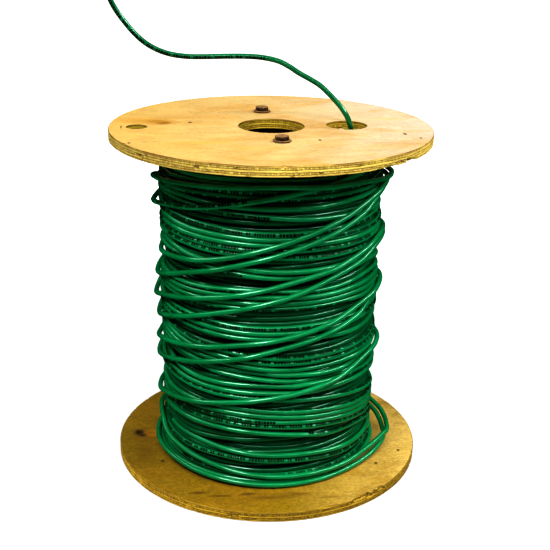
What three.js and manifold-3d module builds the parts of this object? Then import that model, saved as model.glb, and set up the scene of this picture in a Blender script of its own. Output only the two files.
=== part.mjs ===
// A full spool of building wire: two plywood flanges clamped over a paperboard core tube by two long
// bolts, the wound wire between them, and the wire's free start end standing up out of the top flange.
// Millimetres, +Z up. The origin is the centre of the underside, the wire leaves on the +X side.
import * as THREE from 'three';
import { mergeVertices } from 'three/addons/utils/BufferGeometryUtils.js';
import Module from 'manifold-3d';

const wasm = await Module();
wasm.setup();

// Driving dimensions
const INCH = 25.4;
const FLANGE_R = 4 * INCH; // 8 in flange
const PLY_T = 0.25 * INCH; // 1/4 in plywood
const HEIGHT = 223.4; // over both flanges
const ARBOR_R = (13 / 16) * INCH; // 1-5/8 in hole for the spindle
const EDGE_BREAK = 0.4; // the sanded corner of a flange's rim
const GAP = 0.3; // kept between neighbouring pieces

const CORE_OUTER_R = 48.7;
const CORE_WALL = 2.6;
const GROOVE_DEPTH = 2; // how far the core tube sits in each flange

const EXIT_R = 0.5 * INCH; // hole that the wire's start comes up through
const EXIT_X = 48;
const END_HOLE_R = 0.25 * INCH; // small hole that the wire's finish can be tucked into
const END_HOLE_X = -84;

const BOLT_CIRCLE_R = 43.3;
const BOLT_BEARINGS = { front: -87.5, rear: 92.5 }; // degrees from +X
const BOLT_R = 2.4; // #10 machine bolt
const BOLT_HOLE_R = 2.8;
const HEAD_ACROSS_FLATS = (5 / 16) * INCH;
const HEAD_H = 2.3;
const HEAD_CHAMFER = 0.5;
const WASHER_R = (7 / 32) * INCH;
const WASHER_T = 0.8;
const TEE_FLANGE_R = (3 / 8) * INCH;
const TEE_FLANGE_T = 1.2;
const TEE_BARREL_R = 3.3;
const TEE_H = 4; // flange and barrel, short of the core tube above it

const PACK_TOP_R = 69; // the wound wire, a little fuller where it has settled
const PACK_BOTTOM_R = 73;
const PACK_CORNER = 3;

const WIRE_D = 3.3; // 12 AWG building wire over its jacket
const CONDUCTOR_R = 1.03; // solid copper, 12 AWG
const CONDUCTOR_PROUD = 1.2;

// The free start end: it bends up out of the innermost turn, passes through the exit hole, and stands away
// to the left, in the bends that it was left in.
const TAIL_ROUTE = [
  [50.3, -3.6, 218.6],
  [50, -5.7, 220.8],
  [49.6, -7.3, 223.7],
  [48.4, -8.1, 227.3],
  [45.9, -7.9, 231.4],
  [42.4, -7.1, 235.9],
  [38.6, -6.1, 240.4],
  [34.5, -4.7, 244.9],
  [29.6, -3.1, 249.2],
  [23.5, -1.5, 252.8],
  [16.6, 0.2, 256.4],
  [10.8, 1.9, 260],
  [4.4, 3.6, 263],
  [-5, 5.6, 264.9],
  [-14.7, 7.6, 265.4],
  [-28, 10.1, 265.1],
  [-40.8, 12.3, 264.5],
  [-52.5, 13.6, 264.5],
  [-63, 14.5, 266],
  [-71, 14.5, 268.9],
  [-77.9, 14.2, 273.1],
  [-83.9, 13.8, 278.6],
  [-89.4, 13.4, 285.2],
  [-94.6, 12.9, 292.6],
  [-98, 12, 299.5],
  [-99.6, 11.2, 306],
  [-100, 10.5, 312.5],
];
const TAIL_STEPS = 34;
const TAIL_SIDES = 8;

// Facets round each kind of circle
const RIM_SIDES = 96;
const TUBE_SIDES = 48;
const SMALL_SIDES = 20;

const toRadians = THREE.MathUtils.degToRad;

// A solid of revolution about Z from [radius, height] points. Points that are off the axis go round anticlockwise.
function turned(profile, sides) {
  const closed = profile[0][0] > 0 ? [...profile, profile[0]] : profile;
  const outline = closed.map(([r, z]) => new THREE.Vector2(r, z));
  const geometry = new THREE.LatheGeometry(outline, sides);
  geometry.rotateX(Math.PI / 2);
  return geometry;
}

function disc(radius, low, high, sides) {
  return turned([[0, low], [radius, low], [radius, high], [0, high]], sides);
}

function ring(inner, outer, low, high, sides) {
  return turned([[inner, low], [outer, low], [outer, high], [inner, high]], sides);
}

function toSolid(geometry) {
  const bare = geometry.clone();
  bare.deleteAttribute('normal');
  bare.deleteAttribute('uv');
  const merged = mergeVertices(bare, 1e-4);
  return new wasm.Manifold(new wasm.Mesh({
    numProp: 3,
    vertProperties: new Float32Array(merged.attributes.position.array),
    triVerts: new Uint32Array(merged.index.array),
  }));
}

function toGeometry(solid) {
  const { vertProperties, triVerts } = solid.getMesh();
  const geometry = new THREE.BufferGeometry();
  geometry.setAttribute('position', new THREE.BufferAttribute(new Float32Array(vertProperties), 3));
  geometry.setIndex(new THREE.BufferAttribute(new Uint32Array(triVerts), 1));
  geometry.computeVertexNormals();
  return geometry;
}

function cut(geometry, tools) {
  return toGeometry(tools.reduce((solid, tool) => solid.subtract(toSolid(tool)), toSolid(geometry)));
}

function boltPlace(bearing) {
  const angle = toRadians(bearing);
  return [BOLT_CIRCLE_R * Math.cos(angle), BOLT_CIRCLE_R * Math.sin(angle)];
}

function drill(radius, x, y, low, high, sides = SMALL_SIDES) {
  return disc(radius, low, high, sides).translate(x, y, 0);
}

// A round plywood plate with its arbor hole, from z = 0 up to its thickness.
function blankFlange() {
  return turned([
    [ARBOR_R, 0],
    [FLANGE_R - EDGE_BREAK, 0],
    [FLANGE_R, EDGE_BREAK],
    [FLANGE_R, PLY_T - EDGE_BREAK],
    [FLANGE_R - EDGE_BREAK, PLY_T],
    [ARBOR_R, PLY_T],
  ], RIM_SIDES);
}

function coreGroove(low, high) {
  return ring(CORE_OUTER_R - CORE_WALL - GAP, CORE_OUTER_R + GAP, low, high, TUBE_SIDES);
}

function boltHoles() {
  return Object.values(BOLT_BEARINGS).map((bearing) => drill(BOLT_HOLE_R, ...boltPlace(bearing), -1, PLY_T + 1));
}

// The groove for the core tube is in the underside.
function topFlange() {
  return cut(blankFlange(), [
    coreGroove(-1, GROOVE_DEPTH),
    drill(EXIT_R, EXIT_X, 0, -1, PLY_T + 1, TUBE_SIDES),
    drill(END_HOLE_R, END_HOLE_X, 0, -1, PLY_T + 1, SMALL_SIDES * 2),
    ...boltHoles(),
  ]).translate(0, 0, HEIGHT - PLY_T);
}

// The groove is in the upper face, and the tee nuts sit in counterbores in the underside.
function bottomFlange() {
  const teeSeats = Object.values(BOLT_BEARINGS).flatMap((bearing) => {
    const [x, y] = boltPlace(bearing);
    return [
      drill(TEE_FLANGE_R + GAP, x, y, -1, TEE_FLANGE_T + 2 * GAP),
      drill(TEE_BARREL_R + GAP, x, y, -1, TEE_H + 2 * GAP),
    ];
  });
  return cut(blankFlange(), [
    coreGroove(PLY_T - GROOVE_DEPTH, PLY_T + 1),
    ...teeSeats,
    ...boltHoles(),
  ]);
}

function coreTube() {
  const low = PLY_T - GROOVE_DEPTH + GAP;
  return ring(CORE_OUTER_R - CORE_WALL, CORE_OUTER_R, low, HEIGHT - low, TUBE_SIDES);
}

// A hexagon head with a chamfered top on a plain shank, along the whole height of the spool.
function bolt() {
  const seat = HEIGHT + WASHER_T + 2 * GAP;
  const corner = HEAD_ACROSS_FLATS / Math.sqrt(3);
  const head = turned([
    [0, seat],
    [corner, seat],
    [corner, seat + HEAD_H - HEAD_CHAMFER],
    [corner - HEAD_CHAMFER, seat + HEAD_H],
    [0, seat + HEAD_H],
  ], 6);
  const shank = disc(BOLT_R, TEE_FLANGE_T + GAP, seat + 1, SMALL_SIDES);
  return toGeometry(toSolid(head).add(toSolid(shank)));
}

function washer() {
  const low = HEIGHT + GAP;
  return ring(BOLT_HOLE_R, WASHER_R, low, low + WASHER_T, SMALL_SIDES);
}

// A flat flange and a threaded barrel pointing up, open right through.
function teeNut() {
  const low = GAP;
  const bore = BOLT_R + GAP;
  return turned([
    [bore, low],
    [TEE_FLANGE_R, low],
    [TEE_FLANGE_R, low + TEE_FLANGE_T],
    [TEE_BARREL_R, low + TEE_FLANGE_T],
    [TEE_BARREL_R, low + TEE_H],
    [bore, low + TEE_H],
  ], SMALL_SIDES);
}

// The outer shape of the wound wire between the flanges.
function winding() {
  const inner = CORE_OUTER_R + GAP;
  const low = PLY_T + GAP;
  const high = HEIGHT - PLY_T - GAP;
  return turned([
    [inner, low],
    [PACK_BOTTOM_R - PACK_CORNER, low],
    [PACK_BOTTOM_R, low + PACK_CORNER],
    [(PACK_BOTTOM_R + PACK_TOP_R) / 2, (low + high) / 2],
    [PACK_TOP_R, high - PACK_CORNER],
    [PACK_TOP_R - PACK_CORNER, high],
    [inner, high],
  ], RIM_SIDES);
}

function roundSection(radius, sides) {
  const corners = [];
  for (let i = 0; i < sides; i += 1) {
    const angle = (2 * Math.PI * i) / sides;
    corners.push(new THREE.Vector2(radius * Math.cos(angle), radius * Math.sin(angle)));
  }
  return new THREE.Shape(corners);
}

const tailCurve = new THREE.CatmullRomCurve3(TAIL_ROUTE.map((point) => new THREE.Vector3(...point)));

function tail() {
  return new THREE.ExtrudeGeometry(roundSection(WIRE_D / 2, TAIL_SIDES), {
    extrudePath: tailCurve,
    steps: TAIL_STEPS,
  });
}

// The copper core, standing a little proud of the jacket at the cut end.
function conductorEnd() {
  return new THREE.CylinderGeometry(CONDUCTOR_R, CONDUCTOR_R, CONDUCTOR_PROUD, SMALL_SIDES);
}

const COLOURS = {
  plywood: { color: 0xdfb662, roughness: 0.6, metalness: 0 },
  paperboard: { color: 0x8d6c45, roughness: 0.85, metalness: 0 },
  steel: { color: 0x5a3d2a, roughness: 0.55, metalness: 0.8 },
  jacket: { color: 0x04793a, roughness: 0.25, metalness: 0 },
  copper: { color: 0xb87347, roughness: 0.3, metalness: 1 },
};

function piece(name, geometry, look) {
  const mesh = new THREE.Mesh(geometry, new THREE.MeshStandardMaterial(COLOURS[look]));
  mesh.name = name;
  return mesh;
}

const spool = new THREE.Group();
spool.add(piece('bottom_flange', bottomFlange(), 'plywood'));
spool.add(piece('top_flange', topFlange(), 'plywood'));
spool.add(piece('core_tube', coreTube(), 'paperboard'));

for (const [side, bearing] of Object.entries(BOLT_BEARINGS)) {
  const fastening = new THREE.Group();
  fastening.add(piece(`bolt_${side}`, bolt(), 'steel'));
  fastening.add(piece(`washer_${side}`, washer(), 'steel'));
  fastening.add(piece(`tee_nut_${side}`, teeNut(), 'steel'));
  fastening.position.set(...boltPlace(bearing), 0);
  spool.add(fastening);
}

spool.add(piece('wire_winding', winding(), 'jacket'));
spool.add(piece('wire_tail', tail(), 'jacket'));

const conductor = piece('tail_conductor', conductorEnd(), 'copper');
const endPoint = tailCurve.getPoint(1);
const endDirection = tailCurve.getTangent(1);
conductor.position.copy(endPoint).addScaledVector(endDirection, GAP + CONDUCTOR_PROUD / 2);
conductor.quaternion.setFromUnitVectors(new THREE.Vector3(0, 1, 0), endDirection);
spool.add(conductor);

export default spool;
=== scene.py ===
"""A full spool of green building wire on a pale floor. Metres, +Z up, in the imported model's frame."""
import math

import bpy
import numpy as np
from mathutils import Matrix, Vector
from mathutils.geometry import delaunay_2d_cdt


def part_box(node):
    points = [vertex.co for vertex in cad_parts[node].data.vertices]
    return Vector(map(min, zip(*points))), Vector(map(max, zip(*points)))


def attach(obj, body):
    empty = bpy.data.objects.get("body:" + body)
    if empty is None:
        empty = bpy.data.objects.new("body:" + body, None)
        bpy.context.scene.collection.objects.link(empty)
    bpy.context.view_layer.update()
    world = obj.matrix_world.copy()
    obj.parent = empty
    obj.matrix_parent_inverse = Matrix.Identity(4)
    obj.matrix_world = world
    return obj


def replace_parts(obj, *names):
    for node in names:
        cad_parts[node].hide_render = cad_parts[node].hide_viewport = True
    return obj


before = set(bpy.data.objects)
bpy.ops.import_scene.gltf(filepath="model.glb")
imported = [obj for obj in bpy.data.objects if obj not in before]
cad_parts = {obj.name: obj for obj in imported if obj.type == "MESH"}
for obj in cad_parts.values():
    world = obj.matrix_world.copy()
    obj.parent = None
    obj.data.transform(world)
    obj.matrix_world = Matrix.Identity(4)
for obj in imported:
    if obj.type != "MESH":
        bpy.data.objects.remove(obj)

MM = 0.001
TURN = 2 * math.pi
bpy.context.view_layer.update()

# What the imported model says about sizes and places, in millimetres.
PLY_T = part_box("bottom_flange")[1].z / MM
UNDER_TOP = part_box("top_flange")[0].z / MM
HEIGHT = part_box("top_flange")[1].z / MM
FLANGE_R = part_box("top_flange")[1].x / MM
CORE_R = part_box("core_tube")[1].x / MM

# Sizes that the boxes don't give, the same as in the model, in millimetres.
CORE_WALL = 2.6
GAP = 0.3
ARBOR_R = 20.64
EXIT_HOLE = (48, 0, 12.7)  # x, y, radius
END_HOLE = (-84, 0, 6.35)
BOLT_HOLE_R = 2.8
WIRE_D = 3.3
WIRE_R = WIRE_D / 2


# ---- camera, floor and lights

CAMERA_TURN = math.radians(-6.0)  # the spool stands turned a little from the camera's own direction
CAMERA_BACK = 0.65397
CAMERA_UP = 0.36579
CAMERA_PITCH = 0.3548
CAMERA_YAW = 0.0059
CAMERA_ROLL = 0.0166
CAMERA_LENS_MM = 69.08

FLOOR_GLOW = 0.3
LIGHTS = [  # name, azimuth, elevation, distance, size, power, whether it shows in the gloss
    ("overhead", 55, 66, 1.6, (2.2, 2.2), 46, False),
    ("key", -40, 50, 1.2, (0.42, 0.18), 12, True),
    ("front_strip", 0, 46, 1.3, (1.5, 0.05), 6, True),
    ("left_strip", -95, 38, 1.2, (1.1, 0.04), 3.5, True),
    ("right_strip", 80, 38, 1.2, (1.1, 0.04), 10, True),
    ("left_back", -158, 16, 1.2, (0.9, 0.6), 2.2, False),
    ("right_back", 150, 16, 1.2, (0.9, 0.6), 2.8, False),
]


def link(thing):
    bpy.context.scene.collection.objects.link(thing)
    return thing


def make_camera():
    data = bpy.data.cameras.new("camera")
    data.lens = CAMERA_LENS_MM
    data.sensor_width = 36
    data.clip_start = 0.01
    data.clip_end = 50
    camera = link(bpy.data.objects.new("camera", data))
    forward = Vector((
        math.sin(CAMERA_YAW) * math.cos(CAMERA_PITCH),
        math.cos(CAMERA_YAW) * math.cos(CAMERA_PITCH),
        -math.sin(CAMERA_PITCH),
    ))
    right = Vector((math.cos(CAMERA_YAW), -math.sin(CAMERA_YAW), 0))
    up = right.cross(forward)
    right_rolled = right * math.cos(CAMERA_ROLL) + up * math.sin(CAMERA_ROLL)
    up_rolled = up * math.cos(CAMERA_ROLL) - right * math.sin(CAMERA_ROLL)
    turn = Matrix.Rotation(CAMERA_TURN, 3, "Z")
    axes = Matrix((turn @ right_rolled, turn @ up_rolled, turn @ -forward)).transposed()
    place = Matrix.Translation(turn @ Vector((0, -CAMERA_BACK, CAMERA_UP)))
    camera.matrix_world = place @ axes.to_4x4()
    bpy.context.scene.camera = camera


def make_floor():
    half = 0.9
    corners = [(-half, -half, 0), (half, -half, 0), (half, half, 0), (-half, half, 0)]
    data = bpy.data.meshes.new("floor")
    data.from_pydata(corners, [], [(0, 1, 2, 3)])
    floor = link(bpy.data.objects.new("floor", data))
    floor.location.z = -0.2 * MM  # just clear of the spool's underside
    look = Look("floor", 0.9)
    glow = look.ramp(look.vector("LENGTH", look.place), [(0.25, FLOOR_GLOW), (0.65, 1.0)])
    look.fill(look.shader, {"Emission Color": (1, 1, 1), "Emission Strength": glow})
    data.materials.append(look.finish((0.3, 0.3, 0.3)))
    floor.visible_glossy = False


def area_light(name, azimuth, elevation, distance, size, power, mirrored):
    """A softbox aimed at the spool. Azimuth 0 is the camera's side, and it grows to the camera's right."""
    target = Vector((0, 0, 0.12))
    across = math.radians(azimuth) + CAMERA_TURN - TURN / 4
    up = math.radians(elevation)
    away = Vector((math.cos(across) * math.cos(up), math.sin(across) * math.cos(up), math.sin(up)))
    data = bpy.data.lights.new(name, "AREA")
    data.shape = "RECTANGLE"
    data.size, data.size_y = size
    data.energy = power
    light = link(bpy.data.objects.new(name, data))
    light.location = target + away * distance
    light.rotation_euler = (-away).to_track_quat("-Z", "Y").to_euler()
    light.visible_glossy = mirrored


def make_lights():
    """A white surround that only the camera sees, one wide light above, and small ones for the shine."""
    world = bpy.data.worlds.new("studio")
    world.use_nodes = True
    background = world.node_tree.nodes["Background"]
    background.inputs["Color"].default_value = (1, 1, 1, 1)
    background.inputs["Strength"].default_value = 1
    world.cycles_visibility.diffuse = False
    world.cycles_visibility.glossy = False
    bpy.context.scene.world = world
    bpy.context.scene.view_settings.view_transform = "Standard"
    bpy.context.scene.view_settings.look = "High Contrast"
    for light in LIGHTS:
        area_light(*light)


# ---- materials

class Look:
    """One material, with short ways to add and link its nodes. Colours are linear RGB."""

    def __init__(self, name, roughness, metallic=0.0, specular=0.5):
        self.material = bpy.data.materials.new(name)
        self.material.use_nodes = True
        self.tree = self.material.node_tree
        self.shader = self.tree.nodes["Principled BSDF"]
        self.fill(self.shader, {"Roughness": roughness, "Metallic": metallic})
        self.fill(self.shader, {"Specular IOR Level": specular})
        self.place = self.add("ShaderNodeTexCoord").outputs["Object"]

    def add(self, kind, inputs=None, **settings):
        node = self.tree.nodes.new(kind)
        for key, value in settings.items():
            setattr(node, key, value)
        self.fill(node, inputs or {})
        return node

    def fill(self, node, inputs):
        """Gives a node's inputs, by name or number, their values or links."""
        for key, value in inputs.items():
            self.put(node.inputs[key], value)

    def put(self, socket, value):
        if isinstance(value, bpy.types.NodeSocket):
            self.tree.links.new(value, socket)
        elif isinstance(value, tuple) and len(value) == 3 and socket.type == "RGBA":
            socket.default_value = (*value, 1)
        else:
            socket.default_value = value

    def math(self, operation, a, b=0.0):
        return self.add("ShaderNodeMath", {0: a, 1: b}, operation=operation).outputs[0]

    def vector(self, operation, a, b=(0.0, 0.0, 0.0)):
        node = self.add("ShaderNodeVectorMath", {0: a, 1: b}, operation=operation)
        return node.outputs["Value" if operation == "LENGTH" else "Vector"]

    def axes(self, vector):
        """A vector's three parts, by the names X, Y and Z."""
        return self.add("ShaderNodeSeparateXYZ", {0: vector}).outputs

    def stretched(self, factors, offset=(0.0, 0.0, 0.0), source=None):
        inputs = {"Vector": source or self.place, "Scale": factors, "Location": offset}
        return self.add("ShaderNodeMapping", inputs).outputs["Vector"]

    def noise(self, vector, scale, detail=3.0, rough=0.5, swirl=0.0):
        inputs = {"Scale": scale, "Detail": detail, "Roughness": rough, "Distortion": swirl}
        return self.add("ShaderNodeTexNoise", {"Vector": vector, **inputs}).outputs["Fac"]

    def ramp(self, factor, stops, smooth=True):
        """Stops are (place, value) or (place, colour)."""
        node = self.add("ShaderNodeValToRGB", {"Fac": factor})
        node.color_ramp.interpolation = "EASE" if smooth else "LINEAR"
        elements = node.color_ramp.elements
        while len(elements) < len(stops):
            elements.new(0.5)
        for element, (place, value) in zip(elements, stops, strict=True):
            element.position = place
            element.color = (*value, 1) if isinstance(value, tuple) else (value, value, value, 1)
        return node.outputs["Color"]

    def mix(self, factor, a, b, blend="MIX"):
        inputs = {"Factor": factor, 6: a, 7: b}  # 6, 7 and output 2 are the colour sockets
        return self.add("ShaderNodeMix", inputs, data_type="RGBA", blend_type=blend).outputs[2]

    def times(self, colour, shade):
        return self.mix(1.0, colour, shade, "MULTIPLY")

    def product(self, a, b):
        return self.math("MULTIPLY", a, b)

    def grain(self, factors, detail, rough=0.5, source=None):
        return self.noise(self.stretched(factors, source=source), 1, detail, rough)

    def patches(self, scale, detail, stops):
        return self.ramp(self.noise(self.place, scale, detail), stops)

    def spot(self, centre, radius, edge, wobble):
        """1 inside an ellipsoid (in mm) and 0 outside it, with a soft and ragged edge."""
        factors = tuple(1 / (r * MM) for r in radius)
        offset = tuple(-c / r for c, r in zip(centre, radius, strict=True))
        ragged = self.vector("ADD", self.place, wobble)
        away = self.vector("LENGTH", self.stretched(factors, offset, ragged))
        return self.ramp(away, [(1 - edge, 1.0), (1.0, 0.0)])

    def wobble(self, scale, size):
        """A vector of noise, size millimetres at most."""
        node = self.add("ShaderNodeTexNoise", {"Vector": self.place, "Scale": scale, "Detail": 3})
        centred = self.vector("SUBTRACT", node.outputs["Color"], (0.5, 0.5, 0.5))
        scaled = self.add("ShaderNodeVectorMath", {0: centred, "Scale": 2 * size * MM}, operation="SCALE")
        return scaled.outputs["Vector"]

    def finish(self, colour, roughness=None, height=None, depth=0.1):
        """Links the colour, the roughness and a bump depth mm deep, and gives the material."""
        self.put(self.shader.inputs["Base Color"], colour)
        if roughness is not None:
            self.put(self.shader.inputs["Roughness"], roughness)
        if height is not None:
            bump = self.add("ShaderNodeBump", {"Strength": 1, "Distance": depth * MM, "Height": height})
            self.put(self.shader.inputs["Normal"], bump.outputs["Normal"])
        return self.material


def ink_look():
    """Matt black printing ink, a little thin in places."""
    look = Look("print_ink", 0.9, specular=0.03)
    return look.finish(look.patches(900, 2, [(0.45, (0.002, 0.003, 0.002)), (0.8, (0.006, 0.012, 0.007))]))


JACKET_GREEN = (0.001, 0.125, 0.04)
JACKET_DARK = (0.001, 0.105, 0.032)
JACKET_LIGHT = (0.001, 0.145, 0.047)
JACKET_HAZE = (0.004, 0.17, 0.06)


def jacket_look(name, patterned=True, depth=1.0, coat=0.4):
    """Green nylon over PVC: glossy, with slight changes of shade and a little handling haze. Depth scales
    its colours: below 1 it is painted shade, for wire that lies in shadow. Coat is how much clear gloss
    lies over them."""
    look = Look(name, 0.24)
    look.fill(look.shader, {"IOR": 1.53, "Specular Tint": (0.4, 1, 0.68)})
    look.fill(look.shader, {"Coat Weight": coat, "Coat Roughness": 0.08})
    # depth below 1 darkens every colour of the jacket: painted shade
    even, dark, light, hazy = (
        tuple(channel * depth for channel in colour)
        for colour in (JACKET_GREEN, JACKET_DARK, JACKET_LIGHT, JACKET_HAZE)
    )
    if not patterned:
        return look.finish(even)
    green = look.mix(look.patches(45, 2, [(0.3, 0.0), (0.7, 1.0)]), dark, light)
    haze = look.ramp(look.noise(look.place, 160, 4, 0.6), [(0.55, 0.0), (0.75, 0.16)])
    green = look.mix(haze, green, hazy)
    return look.finish(green, look.patches(90, 3, [(0.3, 0.17), (0.7, 0.26)]))


def veneer_look(name, wood_and_painted_light_tones, warm, depth, stains, specks):
    """The face of rotary-cut plywood: its tones from left to right, warm clouds over them, the figure, a
    mottle of the given depth, fibres and pores, and the marks of this sheet. The tones are the wood's
    colour with painted light and shade in them, lighter towards the side that the lamps light more."""
    look = Look(name, 0.68, specular=0.2)
    loose = look.vector("ADD", look.place, look.wobble(9, 7))
    swirled = look.axes(look.vector("ADD", look.place, look.wobble(14, 22)))
    across = look.math("ADD", look.math("DIVIDE", swirled["X"], 2 * FLANGE_R * MM), 0.5)
    last = len(wood_and_painted_light_tones) - 1
    # the tones from left to right: the wood's colour with painted light and shade
    colour = look.ramp(across, [(i / last, tone) for i, tone in enumerate(wood_and_painted_light_tones)], smooth=False)
    broad = look.noise(look.stretched((17, 32, 17), (3.1, 1.7, 0), loose), 1, 3, 0.6, 0.6)
    figure = look.noise(look.stretched((40, 90, 60), source=loose), 1, 4, 0.6, 0.8)
    mottle = look.grain((420, 560, 500), 5, 0.8, loose)
    fibre = look.grain((150, 1500, 1500), 4, 0.65, loose)
    pore = look.grain((500, 2400, 2400), 2, 0.5, loose)
    colour = look.mix(look.ramp(broad, [(0.42, 0.0), (0.7, 0.8)]), colour, warm)
    colour = look.times(colour, look.ramp(figure, [(0.3, 0.9), (0.7, 1.06)]))
    colour = look.times(colour, look.ramp(mottle, [(0.32, 1 - depth), (0.68, 1 + depth)]))
    colour = look.times(colour, look.ramp(fibre, [(0.32, 0.9), (0.62, 1.05)]))
    pores = look.ramp(pore, [(0.64, 1.0), (0.72, 0.55)])
    colour = look.times(colour, pores)
    rag = look.wobble(170, 1.6)
    for centre, radius, strength, shade in stains:
        stain = look.product(look.spot(centre, radius, 0.9, rag), strength)
        colour = look.mix(stain, colour, shade)
    fine = look.wobble(600, 0.4)
    for centre, radius in specks:
        colour = look.mix(look.spot(centre, radius, 0.35, fine), colour, (0.05, 0.022, 0.006))
    height = look.math("ADD", look.product(fibre, 0.6), look.product(pores, 0.5))
    rough = look.ramp(figure, [(0.3, 0.6), (0.7, 0.75)])
    return look.finish(colour, rough, height, 0.12)


PLY_EDGES = (0, 1.05, 2.45, 3.9, 5.3)  # the underside of each ply above the flange's underside, mm
GLUE_REACH = 0.055  # half the width of a glue line's shade, as a share of the flange's thickness
HOLE_WALL = (0.71, 0.68, 0.3)  # what the shade in a hole leaves of the wood's colour


def edge_look(name, low, light, dark, glue, painted_side_light, corner):
    """The sawn edge of 5-ply: long grain and end grain by turns, with dark glue lines between. End grain
    shows where the edge cuts across a ply's fibres, as short upright strokes. The painted side light
    multiplies the colour at the left, in front and at the right: painted light and shade for the sides
    that the lamps light more or less. Corner is how dark the worn upper corner is."""
    look = Look(name, 0.8, specular=0.2)
    place = look.vector("ADD", look.place, look.wobble(60, 0.5))
    level = look.math("DIVIDE", look.math("SUBTRACT", look.axes(place)["Z"], low * MM), PLY_T * MM)
    turned = [(0.0, 0)]
    lines = [(0.0, 0.35), (0.03, 0.0)]
    for i, edge in enumerate(PLY_EDGES[1:]):
        at = edge / PLY_T
        turned += [(at - 0.012, i % 2), (at + 0.012, (i + 1) % 2)]
        lines += [(at - GLUE_REACH, 0.0), (at, 1.0), (at + GLUE_REACH, 0.0)]
    lines += [(0.89, 0.0), (0.94, corner)]
    across = look.ramp(level, turned, smooth=False)
    facing = look.axes(look.vector("NORMALIZE", look.stretched((1, 1, 0), source=place)))
    side_on = look.math("ABSOLUTE", facing["X"])
    front_on = look.math("ABSOLUTE", facing["Y"])
    ends = look.ramp(look.mix(across, side_on, front_on), [(0.35, 0.0), (0.85, 1.0)])
    long_grain = look.grain((150, 150, 2300), 4, 0.65)
    strokes = look.grain((1400, 1400, 350), 3, 0.7)
    grain = look.mix(ends, long_grain, strokes)
    colour = look.mix(look.ramp(grain, [(0.3, 0.0), (0.68, 1.0)]), dark, light)
    cut = look.product(look.ramp(strokes, [(0.35, 0.85), (0.7, 0.1)]), ends)
    colour = look.mix(look.product(cut, 0.7), colour, glue)
    shade = look.grain((45, 45, 300), 3, 0.6)
    colour = look.mix(look.ramp(shade, [(0.45, 0.0), (0.8, 0.4)]), colour, glue)
    broken = look.noise(look.stretched((90, 90, 90), (5, 0, 0)), 1, 3)
    broken = look.ramp(broken, [(0.35, 0.65), (0.55, 1.0)])
    glued = look.product(look.ramp(level, lines, smooth=False), broken)
    colour = look.mix(glued, colour, glue)
    out = look.math("DIVIDE", look.vector("LENGTH", look.stretched((1, 1, 0))), FLANGE_R * MM)
    colour = look.times(colour, look.ramp(out, [(0.93, HOLE_WALL), (0.96, (1.0, 1.0, 1.0))], smooth=False))
    # painted light and shade by side: the colour is multiplied by a tone for the left, the front and the
    # right
    rightward = look.product(look.math("ADD", facing["X"], 1), 0.5)
    tint = look.ramp(rightward, list(zip((0.05, 0.5, 0.85), painted_side_light, strict=True)))
    return look.finish(look.times(colour, tint), 0.75, grain, 0.16)


def steel_look(name, top):
    """Old steel gone to dark brown rust, lighter in patches near its top, a height in metres."""
    look = Look(name, 0.6, specular=0.12)
    patch = look.noise(look.place, 420, 4, 0.65)
    rust = [(0.35, (0.008, 0.004, 0.003)), (0.55, (0.03, 0.015, 0.008)), (0.75, (0.09, 0.052, 0.026))]
    colour = look.ramp(patch, rust)
    level = look.math("DIVIDE", look.axes(look.place)["Z"], top)
    # the colour is lighter in patches on the top face
    top_band = look.ramp(level, [(0.9985, 0.0), (0.9995, 0.75)])
    worn = look.product(top_band, look.patches(800, 3, [(0.3, 0.4), (0.6, 1.0)]))
    colour = look.mix(worn, colour, (0.21, 0.12, 0.05))
    rough = look.ramp(patch, [(0.35, 0.75), (0.7, 0.5)])
    pits = look.noise(look.place, 1500, 3, 0.6)
    return look.finish(colour, rough, pits, 0.15)


def zinc_look():
    """Zinc plate with its faint spangle and a dull bloom."""
    look = Look("zinc_steel", 0.4, 0.9)
    cells = look.add("ShaderNodeTexVoronoi", {"Vector": look.place, "Scale": 700})
    tone = look.ramp(cells.outputs["Distance"], [(0.0, (0.52, 0.53, 0.54)), (1.0, (0.36, 0.37, 0.39))])
    bloom = look.patches(260, 4, [(0.45, 0.0), (0.75, 0.5)])
    colour = look.mix(bloom, tone, (0.5, 0.49, 0.44))
    rough = look.patches(500, 3, [(0.3, 0.32), (0.7, 0.55)])
    return look.finish(colour, rough, look.noise(look.place, 1800, 2), 0.04)


BOARD_STRIP = 62  # the pitch of the paperboard's seam, mm


def board_look():
    """Spiral-wound grey-brown paperboard: a helical seam, fibres, and a soft mottle."""
    look = Look("paperboard", 0.85)
    place = look.axes(look.place)
    bearing = look.math("DIVIDE", look.math("ARCTAN2", place["Y"], place["X"]), TURN)
    climb = look.math("DIVIDE", place["Z"], BOARD_STRIP * MM)
    phase = look.math("FRACT", look.math("ADD", look.math("SUBTRACT", climb, bearing), 8.0))
    seam = look.ramp(phase, [(0.0, 1.0), (0.012, 0.0), (0.985, 0.0), (1.0, 1.0)], smooth=False)
    mottle = look.noise(look.place, 120, 4, 0.6)
    fibre = look.grain((900, 900, 2600), 3, 0.6)
    colour = look.ramp(mottle, [(0.3, (0.24, 0.165, 0.1)), (0.7, (0.33, 0.24, 0.15))])
    colour = look.times(colour, look.ramp(fibre, [(0.3, 0.82), (0.65, 1.05)]))
    colour = look.mix(look.product(seam, 0.7), colour, (0.08, 0.05, 0.03))
    height = look.math("SUBTRACT", fibre, look.product(seam, 1.5))
    return look.finish(colour, 0.85, height, 0.1)


def copper_look():
    """Bright drawn copper with faint draw lines."""
    look = Look("bare_copper", 0.28, 1.0)
    lines = look.grain((2500, 2500, 300), 3)
    colour = look.ramp(lines, [(0.3, (0.72, 0.32, 0.16)), (0.7, (0.92, 0.5, 0.3))])
    rough = look.ramp(lines, [(0.3, 0.34), (0.7, 0.22)])
    return look.finish(colour, rough, lines, 0.02)


# ---- mesh helpers

def add_piece(name, data, materials):
    piece = link(bpy.data.objects.new(name, data))
    for material in materials:
        data.materials.append(material)
    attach(piece, "root")
    return piece


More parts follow.
